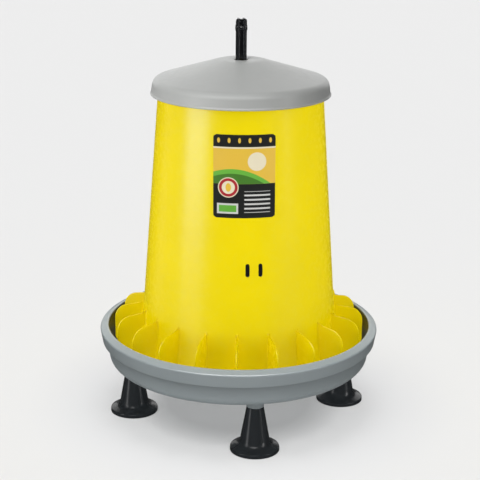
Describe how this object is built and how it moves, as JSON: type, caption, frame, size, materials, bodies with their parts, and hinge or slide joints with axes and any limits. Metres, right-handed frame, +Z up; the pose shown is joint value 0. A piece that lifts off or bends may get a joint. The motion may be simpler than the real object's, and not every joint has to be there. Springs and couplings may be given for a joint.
{
  "type": "poultry feeder",
  "caption": "Gravity poultry feeder: tapered hopper with a ring of head-guard fins over a round pan on trumpet legs, with a lid sliding on a centre hanging rod.",
  "frame": {"origin": "on the floor, under the centre of the pan", "axes": "+Z up along the centre rod, -Y towards the front pair of slots and the front leg, +X to the right"},
  "size_m": [0.4298, 0.4298, 0.611],
  "materials": {
    "yellow_plastic": "gloss",
    "grey_lid_plastic": "satin",
    "grey_pan_plastic": "satin",
    "black_plastic": "gloss",
    "label_film": "satin"
  },
  "bodies": {
    "stand": {"pan": "grey_pan_plastic", "leg_1": "black_plastic", "leg_2": "black_plastic", "leg_3": "black_plastic", "leg_4": "black_plastic", "hanger_rod": "black_plastic", "height_clip": "black_plastic", "pan_clip": "black_plastic"},
    "hopper_body": {"hopper": "yellow_plastic", "hopper_bracket": "black_plastic", "label": "label_film"},
    "lid_body": {"lid": "grey_lid_plastic"}
  },
  "joints": [
    {"name": "hopper_height", "type": "slide", "parent": "stand", "child": "hopper_body", "axis": [0, 0, 1], "range_m": [0, 0.024]},
    {"name": "lid_lift", "type": "slide", "parent": "hopper_body", "child": "lid_body", "axis": [0, 0, 1], "range_m": [0, 0.034]}
  ]
}
